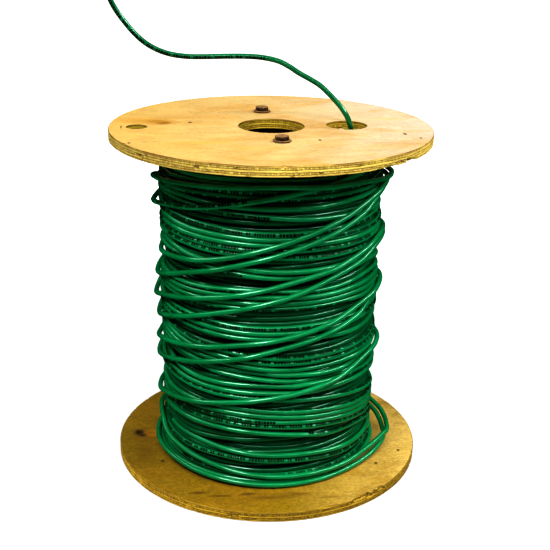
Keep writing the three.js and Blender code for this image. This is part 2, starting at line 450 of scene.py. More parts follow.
def quads_mesh(name, points, quads):
    """A smooth mesh of quads from arrays of points in metres."""
    data = bpy.data.meshes.new(name)
    data.vertices.add(len(points))
    data.vertices.foreach_set("co", np.asarray(points, np.float32).ravel())
    data.loops.add(quads.size)
    data.loops.foreach_set("vertex_index", quads.astype(np.int32).ravel())
    data.polygons.add(len(quads))
    data.polygons.foreach_set("loop_start", np.arange(0, quads.size, 4, dtype=np.int32))
    data.polygons.foreach_set("use_smooth", np.ones(len(quads), bool))
    data.update(calc_edges=True)
    data.validate()
    return data


def grid_quads(rows, columns, first=0):
    """Quads between rows of points, each row closing on itself."""
    i = np.arange(rows - 1)[:, None] * columns
    j = np.arange(columns)[None, :]
    k = (j + 1) % columns
    return first + np.stack([i + j, i + k, i + columns + k, i + columns + j], -1).reshape(-1, 4)


def lathe(profile, sides, radius_at=None):
    """The points of a turned shape, in mm, from (radius, height) points."""
    bearings = np.arange(sides) * TURN / sides
    rows = []
    for r, z in profile:
        radii = np.full(sides, float(r)) if radius_at is None else radius_at(bearings, r, z)
        rows.append(np.stack([radii * np.cos(bearings), radii * np.sin(bearings), np.full(sides, z)], 1))
    return np.concatenate(rows)


def ring_mesh(name, profile, sides, x, y, radius_at=None):
    """A mesh turned from a closed outline of (radius, height) points round x and y, all in mm."""
    points = lathe(profile, sides, radius_at)
    quads = grid_quads(len(profile) + 1, sides) % len(points)
    return quads_mesh(name, (points + [x, y, 0]) * MM, quads)


def heights_of(node):
    """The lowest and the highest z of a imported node, in mm."""
    return (corner.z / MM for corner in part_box(node))


def ripple(bearings, waves, size, rng):
    """A smooth random closed line round a circle, with about the given number of waves."""
    out = np.zeros(len(bearings))
    counts = rng.integers(max(1, waves // 2), waves * 2, 10)
    for count, phase in zip(counts, rng.uniform(0, TURN, 10), strict=True):
        out += np.cos(count * bearings + phase)
    return out * size / math.sqrt(5)


# ---- the free start end

# Below the exit hole the wire bends round from the innermost turn.
TAIL_BEND_MM = [(50.08, 5.26, 215.35), (50.3, 2.8, 215.6), (50.45, -0.35, 216.6)]
TAIL_ROUTE_MM = [
    (50.3, -3.5, 218.5), (49.8, -6.1, 221.2), (48.9, -7.9, 224.4), (47.7, -8.8, 227.8),
    (45.9, -8.8, 231.5), (42.6, -7.5, 236.3), (38.7, -6, 240.7), (34.5, -4.7, 244.9),
    (29.6, -3.1, 249.2), (23.5, -1.5, 252.8), (16.6, 0.2, 256.4), (10.8, 1.9, 260),
    (4.4, 3.6, 263), (-5, 5.6, 264.9), (-14.7, 7.6, 265.4), (-28, 10.1, 265.1),
    (-40.8, 12.3, 264.5), (-52.5, 13.6, 264.5), (-63, 14.5, 266), (-71, 14.5, 268.9),
    (-77.9, 14.2, 273.1), (-83.9, 13.8, 278.6), (-89.4, 13.4, 285.2), (-94.6, 12.9, 292.6),
    (-98, 12, 299.5), (-99.6, 11.2, 306), (-100, 10.5, 312.5),
]
TAIL_MARKS_FROM = 88  # how far along the start end its printed legend begins, mm
TAIL_MARKS_FACE = [0.05, -0.6, 0.8]  # which way it faces


def smooth_line(points, step):
    """Points about step apart on a centripetal Catmull-Rom curve through the given points."""
    points = [Vector(p) for p in points]
    ends = [2 * points[0] - points[1], *points, 2 * points[-1] - points[-2]]
    line = []
    for a, b, c, d in zip(ends, ends[1:], ends[2:], ends[3:], strict=False):
        t1 = (b - a).length ** 0.5
        t2 = t1 + (c - b).length ** 0.5
        t3 = t2 + (d - c).length ** 0.5
        count = max(1, round((c - b).length / step))
        for i in range(count):
            t = t1 + (t2 - t1) * i / count
            ab = a.lerp(b, t / t1)
            bc = b.lerp(c, (t - t1) / (t2 - t1))
            cd = c.lerp(d, (t - t2) / (t3 - t2))
            abc = ab.lerp(bc, t / t2)
            bcd = bc.lerp(cd, (t - t1) / (t3 - t1))
            line.append(abc.lerp(bcd, (t - t1) / (t2 - t1)))
    return [*line, points[-1]]


def make_tail(jacket, ink):
    line = smooth_line([Vector(p) * MM for p in TAIL_BEND_MM + TAIL_ROUTE_MM], WIRE_R * MM)
    data = bpy.data.curves.new("wire_start_end", "CURVE")
    data.dimensions = "3D"
    data.bevel_depth = WIRE_R * MM
    data.bevel_resolution = 4
    data.use_fill_caps = True
    spline = data.splines.new("POLY")
    spline.points.add(len(line) - 1)
    for point, place in zip(spline.points, line, strict=True):
        point.co = (*place, 1)
    spline.use_smooth = True
    tail = add_piece("wire_start_end", data, [jacket])
    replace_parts(tail, "wire_tail")
    centre = np.array([tuple(p) for p in line]) / MM
    out = np.tile(TAIL_MARKS_FACE, (len(centre), 1))
    print_marks("start_end_marks", centre, out, ink, (TAIL_MARKS_FROM, math.inf))


# ---- the winding

SAMPLES = 120  # points in a turn
PACK_LOW = PLY_T + WIRE_R + 0.05
PACK_HIGH = UNDER_TOP - WIRE_R - 0.05
GRID = 0.25
CELLS = np.arange(PACK_LOW - WIRE_D, PACK_HIGH + WIRE_D, GRID)

NEAT_LAYERS = 5
NEAT_TURNS = 61
FIRST_SAMPLE = 2  # the winding starts where the free start end comes down to it
TOUCHING = 1.02 * WIRE_D
DENT = 0.15  # how far wire presses into the wire under it, mm
SETTLE_REACH = 1.3  # how far up or down wire moves to lie in a valley, mm
LOWER_TURNS = 50
UPPER_TURNS = 39

# The loose last turns, from the foot up: (bearing in degrees, height, bulge) where each turn passes.
# Most climb across the front, which lies round bearing 270, and fall back behind.
LOOSE_TURNS = [
    [(192, 12, 1), (265, 8.5, 0), (318, 8, 0), (335, 9.5, 3.5), (347, 13, 8.5), (359, 16.5, 7.5),
     (395, 20, 0)],
    [(190, 31, 1.5), (215, 18, 1), (265, 13.5, 0), (318, 12.5, 0), (347, 15.5, 1), (359, 18.5, 1),
     (395, 23.5, 0)],
    [(178, 47, 0), (190, 50, 1), (230, 60, 0), (280, 73, 0), (341, 86, 0.5)],
    [(178, 71, 0), (192, 75, 0), (265, 100, 0), (341, 124, 0)],
    [(178, 85, 0), (190, 88, 1.5), (265, 107, 0), (341, 128, 0.5)],
    [(178, 99, 0), (192, 104, 0), (265, 133, 0), (341, 160, 0)],
    [(178, 114, 0), (190, 118, 1.8), (265, 141, 0), (341, 163.5, 0)],
    [(178, 127, 0), (192, 132, 0), (265, 161, 0), (341, 191, 0)],
    [(178, 143, 0), (190, 146, 1.2), (235, 155, 0), (290, 177, 0), (341, 195, 1.5)],
    [(170, 176, 0), (186, 178, 2.2), (230, 187, 0), (265, 197, 0), (310, 207, 0), (341, 211, 0.5)],
    [(150, 184, 0), (170, 190, 0), (186, 195, 2), (228, 200.5, 0), (265, 204, 0), (300, 203, 0),
     (341, 197, 4.5)],
]
BULGE_WIDTH = 12  # how far along a bulge spreads, degrees
FINISH = 70  # how far past its last place the last turn goes on, degrees


class Winder:
    """Lays wire round the core, turn by turn. floor[i, j] is the least radius of a wire's centre
    at bearing number i and height number j. All in mm."""

    def __init__(self):
        self.floor = np.full((SAMPLES, len(CELLS)), CORE_R + WIRE_R)
        self.runs = []

    def support(self, numbers, heights):
        """The least radius of a wire's centre at each bearing number and height."""
        cell = (heights - CELLS[0]) / GRID
        low = np.clip(cell.astype(int), 0, len(CELLS) - 2)
        part = cell - low
        row = numbers % SAMPLES
        return self.floor[row, low] * (1 - part) + self.floor[row, low + 1] * part

    def press(self, numbers, radii, heights):
        """Raises the floor round wire that has been laid."""
        away = CELLS[None, :] - heights[:, None]
        over = radii[:, None] + np.sqrt(np.clip(WIRE_D**2 - away * away, 0, None))
        over = np.where(np.abs(away) < WIRE_D, over, 0)
        row = numbers % SAMPLES
        self.floor[row] = np.maximum(self.floor[row], over)

    def settled(self, numbers, heights):
        """Moves wire a little up or down into the valleys of what is below it."""
        moves = np.linspace(-SETTLE_REACH, SETTLE_REACH, 27)
        cost = np.stack([self.support(numbers, heights + move) + 0.25 * move * move for move in moves])
        return np.clip(heights + smoothed(moves[cost.argmin(0)], 19), PACK_LOW, PACK_HIGH)

    def lay(self, start, heights, slack=0.0, settle=False, bulge=None):
        """Lays wire from bearing number start, one height for each point, pulled tight over what is below,
        and gives the bearing number where it stops."""
        count = len(heights)
        numbers = start + np.arange(count)
        radii = np.zeros(count)
        ahead = SAMPLES // 3
        before = None
        for first in range(0, count, SAMPLES):
            last = min(first + SAMPLES, count)
            stop = min(last + ahead, count)
            if settle:
                heights[first:last] = self.settled(numbers[first:last], heights[first:last])
            need = self.support(numbers[first:stop], heights[first:stop])
            if bulge is not None:
                need = need + bulge[first:stop]
            pulled = rounded(taut(need, before), need)
            radii[first:last] = pulled[: last - first] + slack
            self.press(numbers[first:last], radii[first:last], heights[first:last])
            before = radii[last - 1]
        self.runs.append((numbers * TURN / SAMPLES, radii, heights))
        return start + count


def smoothed(values, width):
    """A moving average under a bell, width points wide (an odd number)."""
    reach = width // 2
    padded = np.concatenate([np.full(reach, values[0]), values, np.full(reach, values[-1])])
    bell = np.hanning(width + 2)[1:-1]
    return np.convolve(padded, bell / bell.sum(), "valid")


def taut(need, before):
    """The radii of a string pulled tight over need, as seen along the axis."""
    step = TURN / SAMPLES
    carried = before is not None
    radii = ([before] if carried else []) + list(need)
    kept = []
    for i, r in enumerate(radii):
        while len(kept) >= 2:
            (ia, ra), (ib, rb) = kept[-2], kept[-1]
            if (i - ia) * step >= math.pi * 0.9:
                break
            # b is off the string when it lies inside the chord from a to this point
            ab, bc = (ib - ia) * step, (i - ib) * step
            chord = math.sin(ab + bc) / (math.sin(bc) / ra + math.sin(ab) / r)
            if rb > chord:
                break
            kept.pop()
        kept.append((i, r))
    out = np.full(len(radii), kept[0][1])
    for (ia, ra), (ib, rb) in zip(kept, kept[1:], strict=False):
        span = np.arange(ia, ib + 1)
        a, b = (span - ia) * step, (ib - span) * step
        whole = (ib - ia) * step
        if whole < math.pi * 0.95:
            out[span] = math.sin(whole) / (np.sin(b) / ra + np.sin(a) / rb)
        else:
            out[span] = ra + (rb - ra) * (span - ia) / (ib - ia)
    return out[1:] if carried else out


def rounded(radii, need):
    """Takes the corners out, as the wire's stiffness does, and stays outside need but for a dent."""
    return np.maximum(smoothed(radii, 9), need - DENT)


def wander(count, spacing, size, rng):
    """A smooth random line of count points with about one swing every spacing points."""
    values = rng.normal(0, size, int(count / spacing) + 4)
    at = np.arange(count) / spacing + 1
    low = at.astype(int)
    blend = eased(at - low)
    return values[low] * (1 - blend) + values[low + 1] * blend


def eased(at):
    part = np.clip(at, 0, 1)
    return part * part * (3 - 2 * part)


def neat_heights(upward):
    """One layer of level turns, each stepping to the next over a short stretch at the back, so that the
    turns of the next layer lie in the valleys between these."""
    at = np.arange(NEAT_TURNS * SAMPLES) / SAMPLES
    step = np.floor(at) + eased((at - np.floor(at) - 0.15) / 0.2)
    pitch = (PACK_HIGH - PACK_LOW) / (NEAT_TURNS + 0.5)
    return PACK_LOW + step * pitch if upward else PACK_HIGH - step * pitch


def band_heights(turns, upward, tilt, rng):
    """One uneven layer: bands of touching turns, each band tilted its own way, with gaps between."""
    count = turns * SAMPLES
    at = np.arange(count) / SAMPLES
    edges = np.cumsum(rng.uniform(2, 6, turns))
    edges = edges[edges < turns - 1]
    height = np.cumsum(np.clip(1 + wander(count, 1.5 * SAMPLES, 0.1, rng), 1, 1.5)) * TOUCHING / SAMPLES
    gaps = rng.exponential(1, len(edges)) + 0.3
    gaps *= max(0, PACK_HIGH - PACK_LOW - height[-1]) / gaps.sum()
    for edge, gap in zip(edges, gaps, strict=True):
        height += gap * eased((at - edge) / 0.5 + 0.5)
    tilts = rng.normal(0, tilt, (len(edges) + 1, 4))
    mixed = np.tile(tilts[0], (count, 1))
    for edge, before, after in zip(edges, tilts, tilts[1:], strict=False):
        mixed += (after - before) * eased((at - edge) / 0.9 + 0.5)[:, None]
    angle = at * TURN
    sway = mixed[:, 0] * np.cos(angle) + mixed[:, 1] * np.sin(angle)
    sway += 0.35 * (mixed[:, 2] * np.cos(2 * angle) + mixed[:, 3] * np.sin(2 * angle))
    sway += wander(count, SAMPLES / 3, 0.15, rng)
    room = np.minimum(height, height[-1] - height)
    height += sway * eased(room / 16)
    for turn in range(SAMPLES, count, SAMPLES):
        above = slice(turn, turn + SAMPLES)
        height[above] = np.maximum(height[above], height[turn - SAMPLES : turn] + 0.97 * WIRE_D)
    height = np.maximum(height, 0)
    over = height > PACK_HIGH - PACK_LOW
    if over.any():
        height = height[: over.argmax()]
    return PACK_LOW + height if upward else PACK_HIGH - height


def loose_turns(number, height_now):
    """The last turns, which go on from a bearing number and a height through their places: for each point,
    its height and how far it bulges out."""
    first_turn = math.ceil(number / SAMPLES + 0.1)
    places = [(number * 360 / SAMPLES, height_now, 0)]
    for turn, row in enumerate(LOOSE_TURNS):
        places += [((first_turn + turn) * 360 + bearing, height, out) for bearing, height, out in row]
    bearings, heights, bulges = zip(*places, strict=True)
    stop = round((bearings[-1] + FINISH) / 360 * SAMPLES)
    at = np.arange(number, stop) * 360 / SAMPLES
    height = smoothed(np.interp(at, bearings, heights), 15)
    bulge = np.zeros(len(at))
    for bearing, size in zip(bearings, bulges, strict=True):
        bulge = np.maximum(bulge, size * np.exp(-(((at - bearing) / BULGE_WIDTH) ** 2)))
    return np.clip(height, PACK_LOW, PACK_HIGH), smoothed(bulge, 9)


def wind():
    """All the wire, in runs of bearings, radii and heights."""
    winder = Winder()
    rng = np.random.default_rng(21)
    number = FIRST_SAMPLE
    for layer in range(NEAT_LAYERS):
        number = winder.lay(number, neat_heights(layer % 2 == 1))
    number = winder.lay(number, band_heights(LOWER_TURNS, True, 1.6, rng), slack=0.1, settle=True)
    number = winder.lay(number, band_heights(UPPER_TURNS, False, 3.0, rng), slack=0.1, settle=True)
    heights, bulge = loose_turns(number, winder.runs[-1][2][-1])
    winder.lay(number, heights, slack=0.2, bulge=bulge)
    return winder.runs


def centre_line(run, every=1):
    """The points of a run's centre, mm, every so many samples."""
    bearings, radii, heights = run
    pick = np.unique(np.append(np.arange(0, len(radii), every), len(radii) - 1))
    r, a = radii[pick], bearings[pick]
    return np.stack([r * np.cos(a), r * np.sin(a), heights[pick]], 1)


def frames(centre, out):
    """Directions square to a line at each point: the outward one, trued up, and the one across it."""
    along = np.gradient(centre, axis=0)
    along /= np.linalg.norm(along, axis=1, keepdims=True)
    out = out - along * (out * along).sum(1, keepdims=True)
    out /= np.linalg.norm(out, axis=1, keepdims=True)
    return out, np.cross(along, out)


def tube(centre, out, radius, sides):
    """Points and quads of a closed tube round a line, its two ends drawn in to small caps. In mm."""
    out, across = frames(centre, out)
    turn = np.arange(sides) * TURN / sides
    ring = np.cos(turn)[None, :, None] * out[:, None] + np.sin(turn)[None, :, None] * across[:, None]
    rings = centre[:, None] + radius * ring
    start = centre[0] + 0.02 * radius * ring[0]
    end = centre[-1] + 0.02 * radius * ring[-1]
    points = np.concatenate([start, rings.reshape(-1, 3), end])
    return points, grid_quads(len(centre) + 2, sides)[:, ::-1]


def make_winding(jacket, shaded_under_jacket, shaded_inner_jacket, ink):
    *inner, under, over, loose = wind()
    strands = [(f"wire_inner_layer_{i + 1}", run, shaded_inner_jacket) for i, run in enumerate(inner)]
    # the turns under the outer layer and the inner layers take a darker copy of the jacket: painted shade
    # for the gaps between the outer turns
    strands.append(("wire_outer_layer_under", under, shaded_under_jacket))
    strands.append(("wire_outer_layer_over", over, jacket))
    strands.append(("wire_loose_turns", loose, jacket))
    for name, run, look in strands:
        hidden = look is shaded_inner_jacket
        centre = centre_line(run, 2 if hidden else 1)
        points, quads = tube(centre, centre * [1, 1, 0], WIRE_R, 6 if hidden else 12)
        piece = add_piece(name, quads_mesh(name, points * MM, quads), [look])
        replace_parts(piece, "wire_winding")
    centre = centre_line(over)
    print_marks("over_layer_marks", centre, centre * [1, 1, 0], ink, (0, math.inf))
    centre = centre_line(loose)
    print_marks("loose_turn_marks", centre, centre * [1, 1, 0], ink, LOOSE_MARKS)


# ---- printed marks

LEGEND_REPEAT = 610  # mm from the start of one printed legend to the next
LEGEND_LENGTH = 320
LOOSE_MARKS = (4635, 5000)  # the stretch of the loose turns that has its legend outwards, mm
MARK_HEIGHT = 1.8
MARK_LENGTHS = (0.7, 1.7)
MARK_GAP = 0.45
WORD_GAP = 1.8  # added to that between one word and the next
MARK_LIFT = 0.03
MARK_FACETS = 4  # across a mark, so that it follows the round of the wire
MARK_OUT_OF_SIGHT = 1.7  # marks turned further from the outside than this are left out, radians


def print_marks(name, centre, out, ink, span):
    """Plain dashes along a stretch of wire, in groups like the words of a legend, that spell nothing."""
    rng = np.random.default_rng(5)
    out, across = frames(centre, out)
    steps = np.linalg.norm(np.diff(centre, axis=0), axis=1)
    gone = np.concatenate([[0], np.cumsum(steps)])
    roll = wander(len(centre), 260, 0.85, rng) - 0.15
    points, quads = [], []
    for legend in np.arange(span[0], min(gone[-1] - 10, span[1]), LEGEND_REPEAT):
        at = legend
        while at < min(legend + LEGEND_LENGTH, gone[-1] - 6):
            for _ in range(rng.integers(2, 9)):
                size = rng.uniform(*MARK_LENGTHS)
                add_mark(points, quads, at, size, (gone, centre, out, across, roll))
                at += size + MARK_GAP
            at += WORD_GAP
    data = quads_mesh(name, np.array(points) * MM, np.array(quads))
    add_piece(name, data, [ink])


def add_mark(points, quads, at, size, line):
    """One dash: a small patch that lies on the jacket."""
    gone, centre, out, across, roll = line
    middle = np.interp(at + size / 2, gone, roll)
    if abs(middle) > MARK_OUT_OF_SIGHT:
        return
    half = MARK_HEIGHT / 2 / WIRE_R
    first = len(points)
    for s in (at, at + size):
        place, away, side = (
            np.array([np.interp(s, gone, column) for column in values.T])
            for values in (centre, out, across)
        )
        for angle in np.linspace(middle - half, middle + half, MARK_FACETS + 1):
            points.append(place + (WIRE_R + MARK_LIFT) * (math.cos(angle) * away + math.sin(angle) * side))
    row = MARK_FACETS + 1
    for k in range(first, first + MARK_FACETS):
        quads.append((k, k + 1, k + 1 + row, k + row))


# ---- flanges

RIM_POINTS = 900
RIM_SHY = 0.1  # the rim's best places stay this far inside the flange's radius
PLY_RECESS = (0.02, 0.16, 0.05, 0.2, 0.0)  # how far each ply's edge stands back, from the underside up
PLY_ROUGH = (0.05, 0.11, 0.06, 0.12, 0.05)

GROOVE_DEPTH = 2  # the core tube stands this deep in each flange
TEE_PLATE_SEAT = (9.8, 1.8)  # radius, and how far up from the underside
TEE_BARREL_SEAT = (3.6, 4.6)

TOP_CHIPS = [  # bearing, height, half width, half height, depth
    (268.4, 6.2, 1.6, 0.7, 1.4),
    (270.7, 0.3, 1.2, 0.8, 1.0),
    (216.7, 3.1, 3.4, 0.6, 1.5),
    (239.8, 3.0, 1.6, 0.6, 1.6),
    (304.7, 0.4, 9, 0.9, 1.5),
    (311, 1.4, 5, 1.0, 1.0),
    (317.2, 0.5, 5, 1.1, 2.2),
    (206.5, 6.2, 1.2, 0.5, 0.8),
    (62, 0.6, 6, 0.8, 1.4),
    (128, 5.0, 4, 0.9, 1.1),
]
BOTTOM_CHIPS = [
    (300.7, 5.6, 5, 1.0, 1.7),
    (306, 4.6, 4, 1.2, 1.3),
    (310.3, 5.9, 3, 0.8, 1.5),
    (287, 6.2, 5, 0.4, 0.9),
    (252, 3.0, 3, 0.7, 0.9),
    (95, 5.8, 7, 0.9, 1.6),
    (20, 1.0, 4, 0.9, 1.2),
]


def edge_rows():
    """Heights of the rows of an edge, close together at the corners and at the glue lines."""
    rows = [0, 0.14, 0.4, 0.7, 0.92]
    for low, high in zip(PLY_EDGES[1:], (*PLY_EDGES[2:], PLY_T), strict=True):
        rows += [low, low + 0.13]
        span = high - low
        rows += [low + span * part for part in (0.33, 0.62)]
        rows.append(high - 0.13)
    rows[-1] = PLY_T - 0.14
    return np.array([*rows, PLY_T])


def edge_relief(bearings, rng, rough):
    """How far a sawn edge stands back at each row and bearing, mm."""
    rows = edge_rows()
    relief = np.zeros((len(rows), len(bearings)))
    tears = [np.clip(ripple(bearings, 60, 1.0, rng) - 1.1, 0, None) for _ in PLY_EDGES]
    swells = [ripple(bearings, 14, 0.05, rng) for _ in PLY_EDGES]
    for i, height in enumerate(rows):
        ply = int(np.searchsorted(PLY_EDGES, height, "right")) - 1
        relief[i] = PLY_RECESS[ply] + swells[ply]
        relief[i] += rough * (0.35 * tears[ply] + rng.normal(0, PLY_ROUGH[ply], len(bearings)))
        glue = min(abs(height - edge) for edge in PLY_EDGES[1:])
        if glue < 0.02:
            relief[i] += 0.16
    relief = np.clip(relief, 0, None)
    relief[0] += 0.32
    relief[1] += 0.1
    relief[-2] += 0.1
    relief[-1] += 0.32 + np.clip(ripple(bearings, 80, 0.12, rng), 0, None)
    return relief


def chip_out(relief, bearings, chips, rng):
    """Breaks chips (bearing in degrees, height, half width, half height, depth) out of the relief."""
    rows = edge_rows()[:, None]
    for bearing, height, half_width, half_height, depth in chips:
        away = (bearings - math.radians(bearing) + math.pi) % TURN - math.pi
        ragged = np.clip(1 + 0.35 * ripple(bearings, 90, 1.0, rng), 0.6, 1.6)
        across = np.abs(away * FLANGE_R / half_width)
        up = np.abs((rows - height) / half_height)
        inside = np.clip(1.25 - np.maximum(across[None, :], up) * ragged[None, :], 0, 1)
        relief += depth * eased(inside * 1.6) * (0.8 + 0.2 * rng.random(relief.shape))


def ring_points(x, y, radii, bearings, heights):
    """Rows of points round a centre: one row for each height."""
    across = x + radii * np.cos(bearings)[None, :]
    deep = y + radii * np.sin(bearings)[None, :]
    up = np.broadcast_to(np.asarray(heights)[:, None], across.shape)
    return np.stack([across, deep, up], -1)


def face(points, loops, normal_up):
    """Triangles that fill the flat region between an outer loop and the holes in it."""
    order = np.concatenate(loops)
    flat = [Vector((points[i][0], points[i][1])) for i in order]
    edges, rings, first = [], [], 0
    for loop in loops:
        ring = list(range(first, first + len(loop)))
        edges += zip(ring, [*ring[1:], first], strict=True)
        rings.append(ring)
        first += len(loop)
    _, _, triangles, from_points, _, from_faces = delaunay_2d_cdt(flat, edges, rings, 1, 1e-7)
    kept = []
    for triangle, source in zip(triangles, from_faces, strict=True):
        if list(source) == [0]:  # in the outer loop and in no hole
            corners = [int(order[from_points[i][0]]) for i in triangle]
            kept.append(corners if normal_up else corners[::-1])
    return kept


def flange_mesh(name, low, holes, chips, rough, seed):
    """A plywood disc with a sawn, worn edge and holes (x, y, radius, points), as one closed mesh."""
    rng = np.random.default_rng(seed)
    heights = edge_rows() + low
    rows = len(heights)
    points, edge_quads, lower, upper = [], [], [], []
    for i, (x, y, radius, count) in enumerate([(0, 0, FLANGE_R - RIM_SHY, RIM_POINTS), *holes]):
        bearings = np.arange(count) * TURN / count
        relief = edge_relief(bearings, rng, rough if i == 0 else 0.5)
        if i == 0:
            chip_out(relief, bearings, chips, rng)
        radii = radius - relief if i == 0 else radius + 0.7 * relief
        first = sum(len(block) for block in points)
        points.append(ring_points(x, y, radii, bearings, heights).reshape(-1, 3))
        quads = grid_quads(rows, count, first)
        edge_quads.append(quads if i == 0 else quads[:, ::-1])
        lower.append(first + np.arange(count))
        upper.append(first + (rows - 1) * count + np.arange(count))
    points = np.concatenate(points)
    edge_quads = np.concatenate(edge_quads)
    faces = face(points, upper, True) + face(points, lower, False)
    data = bpy.data.meshes.new(name)
    data.from_pydata([tuple(p) for p in points * MM], [], [*edge_quads.tolist(), *faces])
    on_edge = np.arange(len(data.polygons)) < len(edge_quads)
    data.polygons.foreach_set("use_smooth", on_edge)
    data.polygons.foreach_set("material_index", np.where(on_edge, 1, 0).astype(np.int32))
    data.update()
    return data


def cut_recess(piece, x, y, inner, outer, low, high):
    """Takes a ring-shaped (or, with inner 0, a round) recess with the edge's material out of a flange."""
    inner = max(inner, 0.01)
    data = ring_mesh("cutter", [(outer, low), (outer, high), (inner, high), (inner, low)], 128, x, y)
    for material in piece.data.materials:
        data.materials.append(material)
    data.polygons.foreach_set("material_index", np.ones(len(data.polygons), np.int32))
    cutter = link(bpy.data.objects.new("cutter", data))
    modifier = piece.modifiers.new("recess", "BOOLEAN")
    modifier.operation = "DIFFERENCE"
    modifier.solver = "EXACT"
    modifier.object = cutter
    bpy.context.view_layer.update()
    evaluated = piece.evaluated_get(bpy.context.evaluated_depsgraph_get())
    result = bpy.data.meshes.new_from_object(evaluated)
    piece.modifiers.clear()
    piece.data = result
    bpy.data.objects.remove(cutter)


def bolt_places():
    for side in ("front", "rear"):
        low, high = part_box(f"washer_{side}")
        yield side, (low + high) / 2


def make_flanges(top_looks, bottom_looks):
    bolts = [(place.x / MM, place.y / MM, BOLT_HOLE_R, 32) for _, place in bolt_places()]
    arbor = (0, 0, ARBOR_R, 160)
    top_holes = [arbor, (*EXIT_HOLE, 96), (*END_HOLE, 64), *bolts]
    data = flange_mesh("flange_top", UNDER_TOP, top_holes, TOP_CHIPS, 1.0, 3)
    piece = add_piece("flange_top", data, top_looks)
    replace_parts(piece, "top_flange")
    groove = (CORE_R - CORE_WALL - GAP, CORE_R + GAP)
    cut_recess(piece, 0, 0, *groove, UNDER_TOP - 1, UNDER_TOP + GROOVE_DEPTH)
    data = flange_mesh("flange_bottom", 0, [arbor, *bolts], BOTTOM_CHIPS, 1.2, 4)
    piece = add_piece("flange_bottom", data, bottom_looks)
    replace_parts(piece, "bottom_flange")
    cut_recess(piece, 0, 0, *groove, PLY_T - GROOVE_DEPTH, PLY_T + 1)
    for x, y, _, _ in bolts:
        cut_recess(piece, x, y, 0, TEE_PLATE_SEAT[0], -1, TEE_PLATE_SEAT[1])
        cut_recess(piece, x, y, 0, TEE_BARREL_SEAT[0], -1, TEE_BARREL_SEAT[1])


# ---- core tube and hardware

def make_core(board):
    low, high = heights_of("core_tube")
    bearings = np.arange(128) * TURN / 128
    heights = np.linspace(low, high, 60)
    phase = (heights[:, None] / BOARD_STRIP - bearings[None, :] / TURN) % 1.0
    seam = 0.12 * np.exp(-((np.minimum(phase, 1 - phase) * BOARD_STRIP / 0.9) ** 2))
    outside = ring_points(0, 0, CORE_R - 0.02 - seam, bearings, heights)
    inside = ring_points(0, 0, CORE_R - CORE_WALL + 0.02 + seam, bearings, heights)
    points = np.concatenate([outside, inside[::-1]]).reshape(-1, 3)
    quads = grid_quads(2 * len(heights) + 1, len(bearings)) % len(points)
    data = quads_mesh("paperboard_core", points * MM, quads)
    add_hardware("paperboard_core", data, board, 50, "core_tube")


HEX_FLATS = 25.4 * 5 / 16
SHANK_R = 2.4
THREAD_PITCH = 0.8
THREAD_DEPTH = 0.45
THREAD_TURNS = 30


def hexagon(bearings, flats):
    return flats / 2 / np.cos((bearings + TURN / 12) % (TURN / 6) - TURN / 12)


def add_hardware(name, data, material, sharp, node):
    """A small part with the edges sharper than so many degrees kept sharp."""
    data.set_sharp_from_angle(angle=math.radians(sharp))
    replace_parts(add_piece(name, data, [material]), node)


def make_bolt(side, place, steel):
    low, high = heights_of(f"bolt_{side}")
    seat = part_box(f"washer_{side}")[1].z / MM + GAP
    rng = np.random.default_rng(9)

    def head_radius(bearings, r, z):
        """A hexagon whose corners are cut by the chamfer's cone."""
        if z < seat + 0.01:
            return np.full(len(bearings), float(r))
        cone = HEX_FLATS / 2 + (high - z) * 1.9 - 0.1
        radii = np.minimum(hexagon(bearings, HEX_FLATS), cone) * r
        return radii + rng.normal(0, 0.012, len(bearings))

    shank = [(0.05, low), (SHANK_R - 0.5, low), (SHANK_R, low + 0.5)]
    for i in range(THREAD_TURNS):
        z = low + 0.6 + i * THREAD_PITCH
        shank += [(SHANK_R - 0.02, z), (SHANK_R - THREAD_DEPTH, z + THREAD_PITCH / 2)]
    shank += [(SHANK_R, low + THREAD_TURNS * THREAD_PITCH + 1.5), (SHANK_R, seat)]
    # The head's radii are shares of the hexagon's.
    head = [(0.9, seat + 0.02), (0.985, seat + 0.12)]
    head += [(1.0, z) for z in np.linspace(seat + 0.35, high - 0.25, 8)]
    worn_top = [(0.99, 0.1), (0.95, 0.02), (0.86, 0.01), (0.6, 0.03), (0.3, 0.04), (0.02, 0.04)]
    head += [(share, high - drop) for share, drop in worn_top]
    points = lathe(shank + head, 72, head_radius) + [place.x / MM, place.y / MM, 0]
    name = f"hex_bolt_{side}"
    data = quads_mesh(name, points * MM, grid_quads(len(shank + head), 72))
    add_hardware(name, data, steel, 28, f"bolt_{side}")


def make_washer(side, place, steel):
    low, high = heights_of(f"washer_{side}")
    outer = (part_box(f"washer_{side}")[1].x - place.x) / MM
    inner = BOLT_HOLE_R - 0.1
    soft = 0.22
    profile = [(inner, low + soft), (inner + soft, low), (outer - soft, low), (outer - 0.06, low + 0.06)]
    profile += [(outer, low + soft), (outer, high - soft), (outer - 0.06, high - 0.06)]
    profile += [(outer - soft, high), (inner + soft, high), (inner, high - soft)]
    name = f"flat_washer_{side}"
    data = ring_mesh(name, profile, 64, place.x / MM, place.y / MM)
    add_hardware(name, data, steel, 60, f"washer_{side}")


TEE_PLATE_T = 1.2
TEE_BARREL_R = 3.3


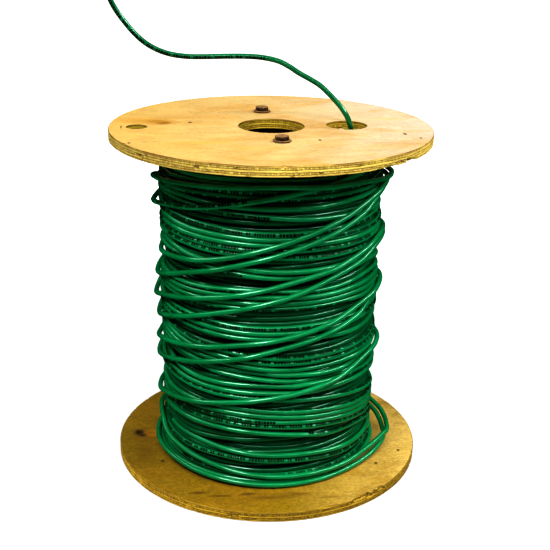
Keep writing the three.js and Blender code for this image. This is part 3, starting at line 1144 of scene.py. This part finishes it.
def make_tee_nut(side, place, zinc):
    low, high = heights_of(f"tee_nut_{side}")
    outer = (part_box(f"tee_nut_{side}")[1].x - place.x) / MM
    bore = SHANK_R + GAP
    plate = low + TEE_PLATE_T
    barrel = TEE_BARREL_R

    def notched(bearings, r, z):
        """Four notches in the plate, where its prongs were bent up."""
        if r < barrel + 1:
            return np.full(len(bearings), float(r))
        away = np.abs((bearings + TURN / 8) % (TURN / 4) - TURN / 8)
        return r - 2.0 * eased(1.6 - away * outer / 1.6) * (r - barrel) / (outer - barrel)

    profile = [(bore, low + 0.3), (bore + 0.5, low), (outer - 1, low), (outer - 0.3, low + 0.06)]
    profile += [(outer, low + 0.3), (outer, plate - 0.25), (outer - 0.3, plate), (barrel + 0.4, plate)]
    profile += [(barrel, plate + 0.35), (barrel, high - 0.2), (barrel - 0.15, high), (bore, high)]
    name = f"tee_nut_plate_{side}"
    data = ring_mesh(name, profile, 96, place.x / MM, place.y / MM, notched)
    add_hardware(name, data, zinc, 40, f"tee_nut_{side}")


# ---- making it

def marks(z, deep, rows):
    """Marks on a face at height z: centre and radii in mm, and the rest of each row. Deep is how far they
    reach through the wood."""
    return [((x, y, z), (wide, long, deep), *rest) for x, y, wide, long, *rest in rows]


# The top face's tones grow paler towards the right: painted light.
TOP_FACE = {
    "wood_and_painted_light_tones": [(0.305, 0.194, 0.05), (0.31, 0.218, 0.088), (0.315, 0.255, 0.18)],
    "warm": (0.29, 0.165, 0.042),
    "depth": 0.13,
    "stains": marks(HEIGHT, 8, [  # x, y, radius along x, radius along y, strength, colour
        (-46, -45, 26, 5, 0.45, (0.32, 0.2, 0.02)),
        (-15, -60, 30, 6, 0.3, (0.32, 0.2, 0.03)),
        (80, 18, 20, 9, 0.4, (0.34, 0.22, 0.06)),
        (88.5, -6.6, 13, 1.6, 0.35, (0.3, 0.18, 0.06)),
        (-69.5, 13, 14, 11, 0.95, (0.21, 0.1, 0.008)),
        (-67, 10.5, 7, 5.5, 0.95, (0.12, 0.045, 0.003)),
        (-73, 16.5, 7, 4.5, 0.9, (0.13, 0.055, 0.005)),
        (-80, 16, 24, 16, 0.55, (0.25, 0.135, 0.015)),
        (-55, -52, 30, 14, 0.3, (0.25, 0.13, 0.015)),
    ]),
    "specks": marks(HEIGHT, 4, [
        (-50.6, 11.3, 1.5, 1.9),
        (25, -40.2, 1.3, 2.0),
        (79.7, -26.1, 1.4, 2.6),
        (87, -37.3, 0.9, 1.9),
        (-87.6, -43.6, 1.1, 1.9),
        (-93.5, -0.5, 0.5, 5),
        (10, -12, 0.8, 1.0),
    ]),
}
# The bottom face's colours are darker than the top face's, partly the wood's own deeper colour and partly
# painted shade under the top flange. Its tones are darkest at the left and lighter at the right: painted
# shade and light.
BOTTOM_FACE = {
    "wood_and_painted_light_tones": [(0.12, 0.075, 0.0025), (0.155, 0.096, 0.0025), (0.36, 0.245, 0.06)],
    "warm": (0.16, 0.088, 0.003),
    "depth": 0.26,
    "stains": marks(PLY_T, 4, [
        (-50.8, -75, 9, 2.2, 0.9, (0.06, 0.03, 0.002)),
        (-37.3, -79.6, 11, 2, 0.9, (0.06, 0.03, 0.002)),
        (-19.6, -78.7, 10, 2, 0.9, (0.06, 0.03, 0.002)),
        (-8, -84, 12, 2, 0.7, (0.07, 0.035, 0.002)),
        (12, -81, 13, 2.4, 0.6, (0.08, 0.04, 0.002)),
        (30, -86, 14, 2, 0.6, (0.1, 0.055, 0.003)),
        (0, -83, 40, 6, 0.45, (0.09, 0.05, 0.003)),
        (62, -62, 20, 2, 0.5, (0.2, 0.12, 0.02)),
    ]) + marks(PLY_T, 8, [  # a knot
        (-84, 2, 17, 15, 0.8, (0.1, 0.055, 0.003)),
        (-79, 5, 9, 8, 0.9, (0.27, 0.12, 0.005)),
        (-80.5, 5, 5, 4, 0.8, (0.12, 0.06, 0.003)),
        (-88.5, 6.5, 5.5, 6, 1.0, (0.016, 0.007, 0.002)),
        (-86, 2, 5, 3, 0.9, (0.02, 0.009, 0.002)),
        (-84, -22, 12, 22, 0.5, (0.09, 0.045, 0.002)),
    ]),
    "specks": marks(PLY_T, 4, [
        (-72.5, -34, 1.4, 1.8),
        (68.1, -47.6, 1.2, 1.7),
        (86.4, -31.8, 1.2, 1.5),
    ]),
}
TOP_EDGE = {
    "low": UNDER_TOP,
    "light": (0.6, 0.47, 0.11),
    "dark": (0.36, 0.245, 0.035),
    "glue": (0.12, 0.06, 0.01),
    # painted shade at the left
    "painted_side_light": (0.74, 1.0, 1.0),
    "corner": 1.0,
}
BOTTOM_EDGE = {
    "low": 0,
    "light": (0.4, 0.26, 0.02),
    "dark": (0.23, 0.135, 0.007),
    "glue": (0.04, 0.018, 0.002),
    # painted light at the left
    "painted_side_light": (1.65, 1.02, 1.0),
    "corner": 0.6,
}


def main():
    make_camera()
    jacket = jacket_look("wire_jacket")
    # darker copies of the jacket: painted shade for the wire that shows in the gaps between the outer
    # turns
    shaded_under_jacket = jacket_look("wire_jacket_under_painted_shade", depth=0.5)
    shaded_inner_jacket = jacket_look("wire_jacket_inner_painted_shade", patterned=False, depth=0.5)
    ink = ink_look()
    # the start end takes a darker copy of the jacket: painted shade
    make_tail(jacket_look("wire_jacket_start_painted_shade", depth=0.58, coat=0.1), ink)
    make_floor()
    make_lights()
    make_winding(jacket, shaded_under_jacket, shaded_inner_jacket, ink)
    top_looks = [veneer_look("plywood_top_face", **TOP_FACE), edge_look("plywood_top_edge", **TOP_EDGE)]
    bottom_looks = [
        veneer_look("plywood_bottom_face", **BOTTOM_FACE),
        edge_look("plywood_bottom_edge", **BOTTOM_EDGE),
    ]
    make_flanges(top_looks, bottom_looks)
    make_core(board_look())
    bolt_steel = steel_look("rusted_bolt_steel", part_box("bolt_front")[1].z)
    washer_steel = steel_look("rusted_washer_steel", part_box("washer_front")[1].z)
    zinc = zinc_look()
    for side, place in bolt_places():
        make_bolt(side, place, bolt_steel)
        make_washer(side, place, washer_steel)
        make_tee_nut(side, place, zinc)
    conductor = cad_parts["tail_conductor"]
    conductor.data.materials.clear()
    conductor.data.materials.append(copper_look())


main()
